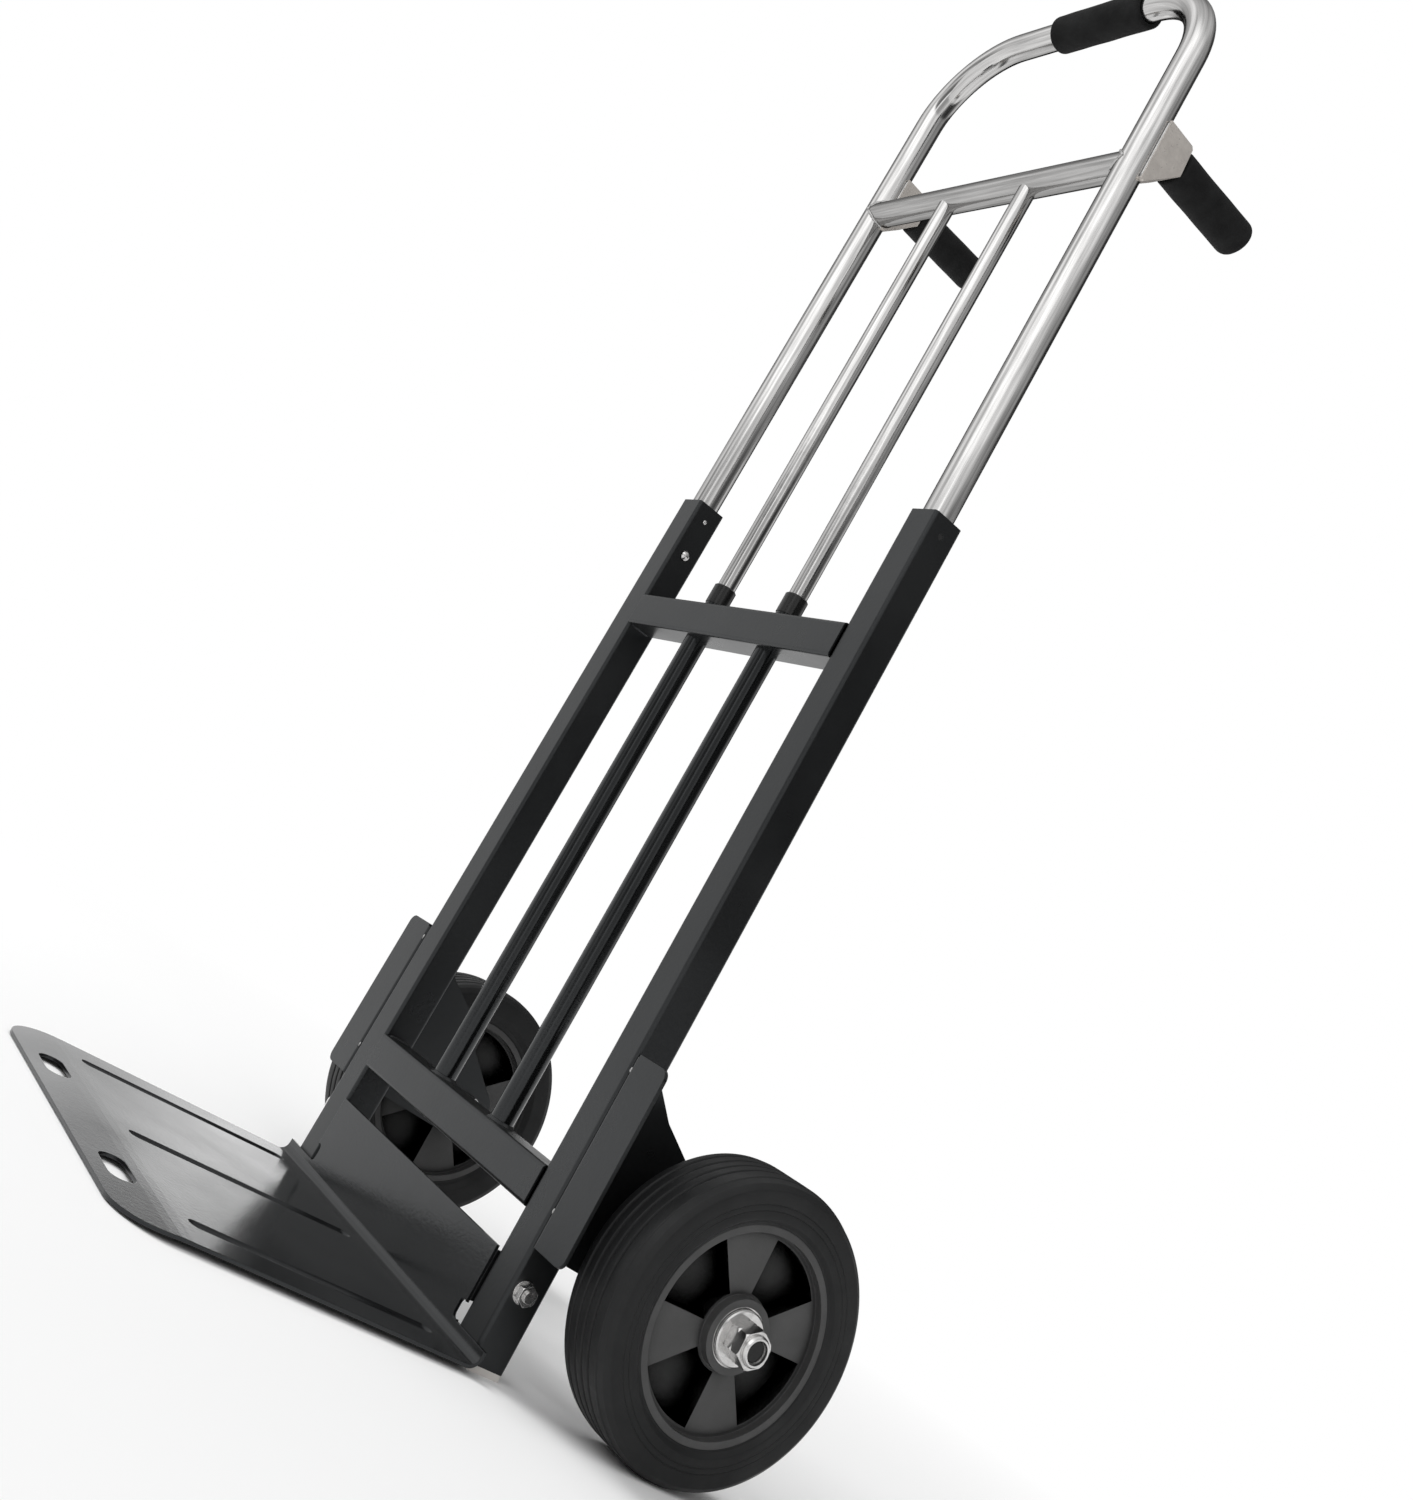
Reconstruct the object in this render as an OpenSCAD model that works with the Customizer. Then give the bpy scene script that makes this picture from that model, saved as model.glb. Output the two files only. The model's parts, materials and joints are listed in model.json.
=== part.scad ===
// Convertible hand truck: square-tube frame, telescoping loop handle with two rear
// handles, folding toe plate and two ball-bearing wheels on stub axles.
// Millimetres, +Z up, floor at z = 0, toe plate toward -Y, wheels toward +Y.

/* [Part to show] */
// Which sub-part to draw

/* [Frame] */
// Overall width across the two uprights
frame_w = 350; // [250:5:450]
// Side of the square upright and crossbar tube
tube = 30; // [25:1:40]
// Wall of the square tube
tube_wall = 1.8; // [1.2:0.1:3]
// Outside corner radius of the square tube
tube_corner = 3; // [1:0.5:5]
// Length of an upright tube
upright_h = 668.5; // [500:0.5:900]
// Height of the sole under each upright
foot_h = 4.5; // [2:0.5:8]
// Top of the upper crossbar above the floor
upper_bar_top = 570; // [400:5:800]
// Top of the lower crossbar above the floor
lower_bar_top = 131; // [100:1:200]
// How far the crossbars stand proud of the uprights
bar_proud = 2; // [0:0.5:5]
// Distance of each inner guide tube from the middle
inner_x = 51; // [35:1:90]
// Outside diameter of the inner guide tubes
inner_d = 19; // [16:0.5:25]
// Bore of the inner guide tubes
inner_bore = 16.6; // [14:0.1:22]

/* [Handle] */
// Outside diameter of the handle tube
leg_d = 25.4; // [20:0.2:28]
// Wall of the handle tube
leg_wall = 1.5; // [1:0.1:2.5]
// Height of the axis of the top bar, handle pulled out
loop_top = 1211; // [900:1:1400]
// Lower end of the handle legs, handle pulled out
leg_end = 560; // [450:5:620]
// Bend radius of the loop corners
loop_r = 80; // [50:1:140]
// Height of the handle crossbar axis, handle pulled out
cross_z = 1018; // [800:1:1200]
// Diameter of the handle crossbar
cross_d = 25; // [16:0.5:25]
// Diameter of the sliding rods
rod_d = 16; // [12:0.5:18]
// Height of the rear handle axis, handle pulled out
rear_z = 1048; // [850:1:1250]
// Distance from the leg axis to the tip of the rear handle tube
rear_reach = 130; // [90:5:180]
// Outside diameter of the foam grips
grip_d = 35; // [30:0.5:42]
// Length of the foam grip on the top bar
top_grip_l = 104; // [80:1:150]
// How far the top grip sits off the middle
top_grip_x = 24; // [-25:1:25]
// Length of the foam grips on the rear handles
rear_grip_l = 96; // [70:1:130]
// How far the handle slides down
handle_travel = 320; // [200:5:400]

/* [Snap buttons] */
// Height of the snap buttons, handle pulled out
button_z = 621; // [560:1:640]
// Diameter of a snap button
button_d = 9; // [6:0.5:10]
// Diameter of the holes that hold a snap button
button_hole_d = 10.5; // [7:0.5:11]

/* [Toe plate] */
// Width of the toe plate
toe_w = 376; // [300:2:450]
// Distance of the front edge from the upright axis
toe_front = 287; // [180:1:360]
// Sheet thickness of the toe plate
toe_t = 2.5; // [1.5:0.5:4]
// Height of the underside of the toe plate above the floor
toe_under = 4; // [3:0.5:8]
// Radius of the front corners
toe_corner = 36; // [10:1:60]
// Height of the top edge of the kick plate
kick_top = 71; // [50:1:90]
// Height of the low tabs in front of the uprights
tab_top = 17; // [12:1:30]
// Height of the toe plate pivot above the floor
pivot_z = 57; // [40:1:80]
// Depth position of the toe plate pivot
pivot_y = -4; // [-8:1:8]
// Diameter of the pivot bolts
pivot_d = 8; // [6:1:12]
// Length of the tie-down slots
slot_l = 46; // [20:1:60]
// Width of the tie-down slots
slot_w = 20; // [8:1:24]
// Distance of each slot from the middle
slot_x = 97; // [50:1:140]
// Depth of the front lip, which slopes down to the edge
lip_l = 50; // [20:1:80]
// Drop of the front edge below the plate
lip_drop = 3; // [0:0.2:4]

/* [Wheels] */
// Wheel diameter
wheel_d = 207; // [150:1:260]
// Tyre width
tyre_w = 56; // [40:1:70]
// Distance from the middle to the inner side of a tyre
tyre_in = 198; // [185:1:230]
// Depth position of the axle
axle_y = 108; // [80:1:150]
// Height of the axle above the floor
axle_z = 104; // [100:1:140]
// Radius where rim and tyre meet
rim_r = 73.5; // [55:0.5:80]
// Diameter of the axle bolts
axle_d = 16; // [12:1:20]
// Outside diameter of the wheel bearings
bearing_d = 40; // [32:1:47]
// Width of the wheel bearings
bearing_w = 12; // [8:1:15]

/* [Hidden] */
$fn = 64;
half_w = frame_w / 2;
half_t = tube / 2;
leg_x = half_w - half_t;
bore = tube - 2 * tube_wall;
upright_top = foot_h + upright_h;
bar_y = -bar_proud;
bar_l = frame_w - 2 * tube;
nub_z = upright_top - 15;
nub_d = 5;
inner_top = 586;
collar_top = 592;
leg_in = leg_d / 2 - leg_wall;
kick_rear = -half_t - 0.3;
kick_front = kick_rear - toe_t;
kick_half = bar_l / 2 - 1.5;
bend_in = 7;
bend_out = bend_in + toe_t;
plate_x = half_w;
plate_t = 3;
flange_x = half_w + 38;
flange_low = 85;
flange_high = 226;
bracket_rear = axle_y + 25;
hub_in = tyre_in + 6;
hub_out = tyre_in + tyre_w - 2;
race_in = hub_in;
race_out = hub_out - bearing_w;
ball_r = 3.25;
ball_pitch = (bearing_d / 2 + axle_d / 2) / 2;
mid_shift = (toe_front - axle_y - wheel_d / 2) / 2;
balls = 10;
spoke_turn = 20;

black_paint = [0.09, 0.09, 0.1];
bright = [0.78, 0.78, 0.8];
foam = [0.16, 0.16, 0.17];
rubber_black = [0.13, 0.13, 0.14];
rim_grey = [0.26, 0.26, 0.27];
plug_white = [0.85, 0.85, 0.8];

// ---- helpers ----

module rounded_square(w, d, r) {
    square([w - 2 * r, d], center = true);
    square([w, d - 2 * r], center = true);
    for (sx = [-1, 1]) {
        for (sy = [-1, 1]) {
            translate([sx * (w / 2 - r), sy * (d / 2 - r)]) circle(r = r);
        }
    }
}

module square_tube(l) {
    linear_extrude(l) difference() {
        rounded_square(tube, tube, tube_corner);
        square(bore, center = true);
    }
}

module tube_ring(od, id, h) {
    difference() {
        cylinder(d = od, h = h);
        translate([0, 0, -1]) cylinder(d = id, h = h + 2);
    }
}

// a cylinder along X starting at x
module rod_x(x, y, z, d, l) {
    translate([x, y, z]) rotate([0, 90, 0]) cylinder(d = d, h = l);
}

module hex_x(x, y, z, flats, l) {
    translate([x, y, z]) rotate([0, 90, 0]) intersection() {
        cylinder(d = flats / cos(30), h = l, $fn = 6);
        cylinder(d1 = flats * 1.02 + 2 * l, d2 = flats * 1.06, h = l);
        cylinder(d1 = flats * 1.06, d2 = flats * 1.02 + 2 * l, h = l);
    }
}

module nut_x(x, y, z, flats, l, hole) {
    difference() {
        hex_x(x, y, z, flats, l);
        rod_x(x - 1, y, z, hole, l + 2);
    }
}

module ring_x(x, y, z, od, id, l) {
    translate([x, y, z]) rotate([0, 90, 0]) tube_ring(od, id, l);
}

module left_side() {
    mirror([1, 0, 0]) children();
}

// puts the middle of the truck's footprint over the origin
module placed() {
    translate([0, mid_shift, 0]) children();
}

module both_sides() {
    children();
    mirror([1, 0, 0]) children();
}

// ---- frame ----

module upright_shape() {
    difference() {
        translate([leg_x, 0, foot_h]) square_tube(upright_h);
        rod_x(leg_x - tube, 0, button_z, button_hole_d, tube);
        rod_x(leg_x - tube, 0, nub_z, nub_d, 2 * tube);
        rod_x(leg_x - tube, pivot_y, pivot_z, pivot_d, 2 * tube);
    }
}

module upright_right() {
    color(black_paint) upright_shape();
}

module upright_left() {
    color(black_paint) left_side() upright_shape();
}

module crossbar_shape(top) {
    translate([-bar_l / 2, bar_y, top - half_t]) rotate([0, 90, 0]) square_tube(bar_l);
}

module upper_crossbar() {
    color(black_paint) difference() {
        crossbar_shape(upper_bar_top);
        for (s = [-1, 1]) {
            translate([s * inner_x, bar_y, upper_bar_top - 2 * tube])
                cylinder(d = inner_d, h = 3 * tube);
        }
    }
}

module lower_crossbar() {
    color(black_paint) crossbar_shape(lower_bar_top);
}

module inner_tube_shape() {
    translate([inner_x, bar_y, lower_bar_top])
        tube_ring(inner_d, inner_bore, inner_top - lower_bar_top);
}

module inner_tube_right() {
    color(black_paint) inner_tube_shape();
}

module inner_tube_left() {
    color(black_paint) left_side() inner_tube_shape();
}

module tube_collars() {
    color(foam) both_sides() translate([inner_x, bar_y, 0]) rotate_extrude() {
        polygon([
            [rod_d / 2 + 0.08, inner_top], [inner_d / 2, inner_top],
            [inner_d / 2, inner_top - 12], [inner_d / 2 + 0.5, inner_top - 12],
            [inner_d / 2 + 0.5, collar_top - 1], [inner_d / 2 - 0.5, collar_top],
            [rod_d / 2 + 0.08, collar_top]
        ]);
    }
}

module tube_welds() {
    color(black_paint) both_sides() translate([inner_x, bar_y, 0]) rotate_extrude() {
        polygon([
            [inner_d / 2, lower_bar_top], [inner_d / 2 + 2.5, lower_bar_top],
            [inner_d / 2, lower_bar_top + 2.5]
        ]);
        polygon([
            [inner_d / 2, upper_bar_top], [inner_d / 2 + 1.8, upper_bar_top],
            [inner_d / 2, upper_bar_top + 1.8]
        ]);
    }
}

module guide_bushes() {
    color(rubber_black) both_sides() {
        difference() {
            union() {
                translate([leg_x, 0, upright_top - 30])
                    linear_extrude(30) square(bore, center = true);
                rod_x(leg_x - half_t + 0.3, 0, nub_z, nub_d, tube - 0.6);
            }
            translate([leg_x, 0, upright_top - 31]) cylinder(d = leg_d + 0.16, h = 32);
        }
    }
}

module foot_plugs() {
    color(plug_white) both_sides() translate([leg_x, 0, 0]) {
        linear_extrude(foot_h) rounded_square(tube, tube, tube_corner);
        linear_extrude(foot_h + 14) square(bore, center = true);
    }
}

module bracket_shape() {
    // side plate on the outer face of the upright
    difference() {
        translate([plate_x, 0, 0]) rotate([90, 0, 90]) linear_extrude(plate_t) {
            polygon([
                [-half_t + plate_t, flange_low], [axle_y - 4, axle_z - 25],
                [axle_y, axle_z], [axle_y + 16, axle_z + 19],
                [88, 152], [62, 180], [34, 196], [half_t, 213],
                [-half_t + plate_t, 224]
            ]);
            translate([axle_y, axle_z]) circle(r = 25.3);
        }
        rod_x(plate_x - 1, axle_y, axle_z, axle_d, plate_t + 2);
        rod_x(plate_x - 1, pivot_y, pivot_z, 20, plate_t + 2);
    }
    // front flange, flush with the front of the upright
    translate([0, -half_t + plate_t, 0]) rotate([90, 0, 0]) linear_extrude(plate_t) {
        translate([(plate_x + plate_t + flange_x) / 2, (flange_low + flange_high) / 2])
            rounded_square(flange_x - plate_x - plate_t, flange_high - flange_low, 7);
        translate([plate_x + plate_t, flange_low]) square([8, flange_high - flange_low]);
    }
    // bend between the two
    translate([plate_x + plate_t, -half_t + plate_t, flange_low])
        intersection() {
            cylinder(r = plate_t, h = flange_high - flange_low - 2);
            translate([-plate_t, -plate_t, 0]) cube([plate_t, plate_t, 200]);
        }
}

module wheel_bracket_right() {
    color(black_paint) bracket_shape();
}

module wheel_bracket_left() {
    color(black_paint) left_side() bracket_shape();
}

// ---- stub axles ----

module axle_bolt_shape() {
    hex_x(plate_x - 10, axle_y, axle_z, 24, 10);
    difference() {
        rod_x(plate_x, axle_y, axle_z, axle_d, hub_out + 19.5 - plate_x);
        difference() {
            rod_x(hub_out + 18, axle_y, axle_z, axle_d + 4, 3);
            translate([hub_out + 18, axle_y, axle_z]) rotate([0, 90, 0])
                cylinder(d1 = axle_d, d2 = axle_d - 5, h = 3);
        }
    }
}

module axle_bolt_right() {
    color(bright) axle_bolt_shape();
}

module axle_bolt_left() {
    color(bright) left_side() axle_bolt_shape();
}

module axle_lock_nuts() {
    color(bright) both_sides()
        nut_x(plate_x + plate_t, axle_y, axle_z, 24, 11, axle_d);
}

module axle_spacers() {
    from_nut = plate_x + plate_t + 11;
    color(bright) both_sides() {
        ring_x(from_nut, axle_y, axle_z, 22, axle_d, race_in - from_nut);
        ring_x(race_in + bearing_w, axle_y, axle_z, 22, axle_d, race_out - race_in - bearing_w);
    }
}

module axle_washers() {
    color(bright) both_sides() {
        ring_x(hub_out, axle_y, axle_z, 23, axle_d, 1);
        difference() {
            ring_x(hub_out + 0.6, axle_y, axle_z, 38, axle_d, 2.4);
            difference() {
                rod_x(hub_out + 2.2, axle_y, axle_z, 50, 1);
                translate([hub_out + 2.2, axle_y, axle_z]) rotate([0, 90, 0])
                    cylinder(d1 = 38, d2 = 35.5, h = 1);
            }
        }
    }
}

module axle_nuts() {
    color(bright) both_sides() {
        nut_x(hub_out + 3, axle_y, axle_z, 24, 7.5, axle_d);
        nut_x(hub_out + 10.5, axle_y, axle_z, 24, 8.5, axle_d);
        difference() {
            ring_x(hub_out + 18, axle_y, axle_z, 21, axle_d, 4);
            difference() {
                rod_x(hub_out + 20.5, axle_y, axle_z, 30, 2);
                translate([hub_out + 20.5, axle_y, axle_z]) rotate([0, 90, 0])
                    cylinder(d1 = 21, d2 = 18, h = 2);
            }
        }
    }
}

// ---- wheel bearings ----

module on_axle(x) {
    translate([x, axle_y, axle_z]) rotate([0, 90, 0]) children();
}

module race_profile(low, high) {
    difference() {
        translate([low, 0]) square([high - low, bearing_w]);
        translate([ball_pitch, bearing_w / 2]) circle(r = ball_r + 0.05);
    }
}

module bearing_inner_races() {
    color(bright) both_sides() {
        for (x = [race_in, race_out]) {
            on_axle(x) rotate_extrude() race_profile(axle_d / 2, ball_pitch - 2.2);
        }
    }
}

module outer_races() {
    for (x = [race_in, race_out]) {
        on_axle(x) rotate_extrude() race_profile(ball_pitch + 2.2, bearing_d / 2);
    }
}

module balls_shape() {
    for (x = [race_in, race_out]) {
        for (i = [0 : balls - 1]) {
            on_axle(x + bearing_w / 2) rotate([0, 0, i * 360 / balls])
                translate([ball_pitch, 0, 0]) sphere(r = ball_r, $fn = 24);
        }
    }
}

module seals_shape() {
    for (x = [race_in + 0.6, race_in + bearing_w - 1.6, race_out + 0.6, race_out + bearing_w - 1.6]) {
        on_axle(x) tube_ring(2 * ball_pitch + 4.4, 2 * ball_pitch - 3.8, 1);
    }
}

module bearing_outer_right() {
    color(bright) outer_races();
}

module bearing_outer_left() {
    color(bright) left_side() outer_races();
}

module bearing_balls_right() {
    color(bright) balls_shape();
}

module bearing_balls_left() {
    color(bright) left_side() balls_shape();
}

module bearing_seals_right() {
    color(rubber_black) seals_shape();
}

module bearing_seals_left() {
    color(rubber_black) left_side() seals_shape();
}

// ---- wheels ----

module tyre_shape() {
    r = wheel_d / 2;
    shoulder = 7;
    on_axle(tyre_in) rotate_extrude($fn = 128) difference() {
        union() {
            translate([rim_r, 3]) square([r - rim_r - shoulder, tyre_w - 6]);
            translate([rim_r + 8, 0]) square([r - rim_r - 8 - shoulder, tyre_w]);
            translate([r - shoulder, shoulder]) square([shoulder, tyre_w - 2 * shoulder]);
            translate([r - shoulder, shoulder]) circle(r = shoulder);
            translate([r - shoulder, tyre_w - shoulder]) circle(r = shoulder);
        }
        for (v = [12, 20, 28, 36, 44]) {
            translate([r - 2, v - 1]) square([4, 2]);
        }
        for (v = [-1, tyre_w - 0.8]) {
            translate([rim_r + 15, v]) square([1.5, 1.8]);
        }
    }
}

module spoke_window(depth) {
    // one of the four wedge pockets between the spokes
    inner = 27;
    outer = 65;
    rotate_extrude(angle = 52) translate([inner, 0]) square([outer - inner, depth]);
}

module rim_shape() {
    web = 8;
    pocket = (hub_out - hub_in - web) / 2;
    first = 19 + spoke_turn;
    on_axle(0) difference() {
        union() {
            // barrel under the tyre with a lip at each side
            translate([0, 0, tyre_in + 3]) cylinder(r = rim_r, h = tyre_w - 6, $fn = 128);
            translate([0, 0, hub_in]) cylinder(d = 50, h = hub_out - hub_in);
        }
        // dished faces, hub left standing
        for (x = [tyre_in, tyre_in + tyre_w - 9]) {
            translate([0, 0, x]) difference() {
                cylinder(r = 68.5, h = 9);
                translate([0, 0, -1]) cylinder(d = 50, h = 11);
            }
        }
        // pockets
        for (a = [first : 90 : first + 270]) {
            rotate([0, 0, a]) translate([0, 0, tyre_in + tyre_w / 2 + web / 2])
                spoke_window(pocket + 10);
            rotate([0, 0, a]) translate([0, 0, tyre_in + tyre_w / 2 - web / 2 - pocket - 10])
                spoke_window(pocket + 10);
        }
        // bearing seats and the bore between them
        translate([0, 0, race_in - 10]) cylinder(d = bearing_d, h = bearing_w + 10);
        translate([0, 0, race_out]) cylinder(d = bearing_d, h = bearing_w + 10);
        translate([0, 0, race_in]) cylinder(d = bearing_d - 10, h = race_out - race_in + 1);
    }
}

module tyre_right() {
    color(rubber_black) tyre_shape();
}

module tyre_left() {
    color(rubber_black) left_side() tyre_shape();
}

module rim_right() {
    color(rim_grey) rim_shape();
}

module rim_left() {
    color(rim_grey) left_side() rim_shape();
}

// ---- toe plate ----

module toe_profile() {
    // side view, drawn with y to the right and z up
    lip = toe_front - lip_l;
    union() {
        translate([-lip, toe_under]) square([lip + kick_front - bend_in, toe_t]);
        polygon([
            [-lip, toe_under], [-lip, toe_under + toe_t],
            [-lip - 8, toe_under + toe_t - lip_drop * 0.04],
            [-lip - 16, toe_under + toe_t - lip_drop * 0.17],
            [-toe_front, toe_under + toe_t - lip_drop], [-toe_front, toe_under - lip_drop],
            [-lip - 16, toe_under - lip_drop * 0.17], [-lip - 8, toe_under - lip_drop * 0.04]
        ]);
        translate([kick_front, toe_under + bend_out]) square([toe_t, kick_top - toe_under - bend_out]);
        translate([kick_front - bend_in, toe_under + bend_out]) intersection() {
            difference() {
                circle(r = bend_out);
                circle(r = bend_in);
            }
            translate([0, -bend_out]) square(bend_out);
        }
    }
}

module toe_outline() {
    // plan view with rounded front corners
    half = toe_w / 2;
    translate([-half, -toe_front + toe_corner]) square([toe_w, toe_front]);
    translate([-half + toe_corner, -toe_front]) square([toe_w - 2 * toe_corner, toe_corner + 1]);
    for (s = [-1, 1]) {
        translate([s * (half - toe_corner), -toe_front + toe_corner]) circle(r = toe_corner);
    }
}

module rib(r, from, to) {
    // pressed stiffening rib, sunk into the plate
    translate([0, from, 0]) rotate([-90, 0, 0]) cylinder(r = r, h = to - from);
    for (y = [from, to]) {
        translate([0, y, 0]) sphere(r = r);
    }
}

module toe_plate() {
    rib_z = toe_under + 8.6;
    color(black_paint) difference() {
        union() {
            intersection() {
                rotate([90, 0, 90]) translate([0, 0, -toe_w / 2]) linear_extrude(toe_w) toe_profile();
                linear_extrude(200) toe_outline();
            }
            for (x = [-150, 0, 150]) {
                intersection() {
                    translate([x, 0, rib_z]) rib(11.2, -222, -42);
                    translate([-toe_w, -toe_front, 0]) cube([2 * toe_w, toe_front, toe_under + toe_t]);
                }
            }
        }
        for (x = [-150, 0, 150]) {
            translate([x, 0, rib_z]) rib(9, -222, -42);
        }
        for (s = [-1, 1]) {
            // tie-down slots
            translate([s * slot_x, -toe_front + 23, 0]) {
                translate([-slot_l / 2 + slot_w / 2, 0, -5]) cylinder(d = slot_w, h = 30);
                translate([slot_l / 2 - slot_w / 2, 0, -5]) cylinder(d = slot_w, h = 30);
                translate([-slot_l / 2 + slot_w / 2, -slot_w / 2, -5]) cube([slot_l - slot_w, slot_w, 30]);
            }
            // the kick plate is narrower than the tabs below it
            translate([s > 0 ? kick_half : -kick_half - 100, -40, tab_top]) cube([100, 40, 100]);
            // relief holes in the corners of the notches
            for (z = [tab_top + 4, tab_top + 10]) {
                translate([s * (kick_half - 2.5), 0, z]) rotate([90, 0, 0]) cylinder(r = 4, h = 60);
            }
            translate([s * (kick_half - 2.5) - 4, -60, tab_top + 4]) cube([8, 60, 6]);
        }
    }
}

module hinge_ears() {
    color(black_paint) both_sides() difference() {
        translate([kick_half - toe_t, 0, 0]) rotate([90, 0, 90]) linear_extrude(toe_t) {
            translate([pivot_y, pivot_z]) circle(r = 11);
            translate([kick_rear, pivot_z - 25]) square([pivot_y - kick_rear, 36]);
            translate([kick_rear, pivot_z - 25]) square([3, 20]);
        }
        rod_x(kick_half - toe_t - 1, pivot_y, pivot_z, pivot_d + 0.12, toe_t + 2);
    }
}

module toe_pads() {
    color(black_paint) both_sides() translate([62, kick_front - bend_in - 12, 0])
        linear_extrude(toe_under) rounded_square(34, 30, 5);
}

module pivot_bolts() {
    head = kick_half - toe_t - 0.3;
    color(bright) both_sides() {
        hex_x(head - 5.5, pivot_y, pivot_z, 13, 5.5);
        rod_x(head, pivot_y, pivot_z, pivot_d, half_w + 10 - head);
    }
}

module pivot_washers() {
    color(bright) both_sides() ring_x(half_w, pivot_y, pivot_z, 16, pivot_d, 1.6);
}

module pivot_nuts() {
    color(bright) both_sides() nut_x(half_w + 1.6, pivot_y, pivot_z, 13, 6.5, pivot_d);
}

// ---- handle ----

module bend_ring(r, od, id) {
    // quarter of a bent tube in the XZ plane
    rotate([90, 0, 0]) rotate_extrude(angle = 90) translate([r, 0]) difference() {
        circle(d = od);
        circle(d = id);
    }
}

module handle_loop() {
    id = 2 * leg_in;
    straight = loop_top - loop_r - leg_end;
    color(bright) difference() {
        union() {
            for (s = [-1, 1]) {
                translate([s * leg_x, 0, leg_end]) tube_ring(leg_d, id, straight);
            }
            translate([leg_x - loop_r, 0, loop_top - loop_r]) bend_ring(loop_r, leg_d, id);
            mirror([1, 0, 0]) translate([leg_x - loop_r, 0, loop_top - loop_r])
                bend_ring(loop_r, leg_d, id);
            ring_x(-leg_x + loop_r, 0, loop_top, leg_d, id, 2 * (leg_x - loop_r));
        }
        for (s = [-1, 1]) {
            rod_x(s > 0 ? leg_x - 20 : -leg_x, 0, button_z, button_d + 0.2, 20);
        }
    }
}

module handle_crossbar() {
    color(bright) difference() {
        rod_x(-leg_x, 0, cross_z, cross_d, 2 * leg_x);
        rod_x(-leg_x - 1, 0, cross_z, cross_d - 3, 2 * leg_x + 2);
        for (s = [-1, 1]) {
            translate([s * leg_x, 0, cross_z - 40]) cylinder(d = leg_d, h = 80);
            translate([s * inner_x, bar_y, cross_z - 40]) cylinder(d = rod_d, h = 40);
        }
    }
}

module rod_shape() {
    low = inner_top - 86;
    difference() {
        translate([inner_x, bar_y, low]) cylinder(d = rod_d, h = cross_z - 4 - low);
        translate([inner_x, bar_y, low - 1]) cylinder(d = rod_d - 2.4, h = cross_z - 8 - low);
    }
}

module slide_rod_right() {
    color(bright) rod_shape();
}

module slide_rod_left() {
    color(bright) left_side() rod_shape();
}

module rod_end_guides() {
    low = inner_top - 86;
    color(rubber_black) both_sides() translate([inner_x, bar_y, low - 4]) {
        cylinder(d = rod_d, h = 4);
        cylinder(d = rod_d - 2.4, h = 16);
    }
}

module leg_end_guides() {
    color(rubber_black) both_sides() translate([leg_x, 0, leg_end - 12]) {
        linear_extrude(12) rounded_square(bore - 0.6, bore - 0.6, 1);
        cylinder(r = leg_in, h = 18);
    }
}

module rear_handle_shape() {
    translate([leg_x, 0, rear_z]) difference() {
        rotate([-90, 0, 0]) cylinder(d = leg_d - 0.4, h = rear_reach);
        translate([0, -1, 0]) rotate([-90, 0, 0]) cylinder(d = leg_d - 3.4, h = rear_reach - 1);
        translate([0, 0, -40]) cylinder(d = leg_d, h = 80);
        translate([0, -60, 0]) cube(120, center = true);
    }
}

module rear_handle_right() {
    color(bright) rear_handle_shape();
}

module rear_handle_left() {
    color(bright) left_side() rear_handle_shape();
}

module gusset_shape() {
    // folded sheet channel round the rear handle tube, open at the top
    wall = 2.4;
    half = leg_d / 2 + 0.1;
    low = rear_z - 43.5;
    difference() {
        union() {
            for (x = [leg_x - half - wall, leg_x + half]) {
                translate([x, 0, 0]) rotate([90, 0, 90]) linear_extrude(wall)
                    polygon([[3, low], [7, low], [37, rear_z - 14.5], [37, rear_z - 11],
                             [35.5, rear_z + 12], [33, rear_z + 14.5], [3, rear_z + 15.5]]);
            }
            translate([leg_x - half, 0, 0]) rotate([90, 0, 90]) linear_extrude(2 * half)
                polygon([[3, low], [7, low], [37, rear_z - 14.5], [37, rear_z - 12.8],
                         [34, rear_z - 12.8], [6, low + 3], [3, low + 3]]);
        }
        translate([leg_x, 0, 900]) cylinder(d = leg_d, h = 400);
        translate([leg_x, 0, rear_z]) rotate([-90, 0, 0]) cylinder(d = leg_d - 0.4, h = 80);
        translate([0, 0, cross_z]) rotate([0, 90, 0]) cylinder(d = cross_d + 1, h = leg_x);
    }
}

module gusset_right() {
    color(bright) gusset_shape();
}

module gusset_left() {
    color(bright) left_side() gusset_shape();
}

module top_grip() {
    soft = 4;
    color(foam) translate([top_grip_x - top_grip_l / 2, 0, loop_top]) rotate([0, 90, 0]) rotate_extrude() {
        translate([leg_d / 2, 0]) square([grip_d / 2 - leg_d / 2 - soft, top_grip_l]);
        translate([leg_d / 2, soft]) square([grip_d / 2 - leg_d / 2, top_grip_l - 2 * soft]);
        for (v = [soft, top_grip_l - soft]) {
            intersection() {
                translate([grip_d / 2 - soft, v]) circle(r = soft);
                translate([leg_d / 2, -1]) square([grip_d, top_grip_l + 2]);
            }
        }
    }
}

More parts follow.
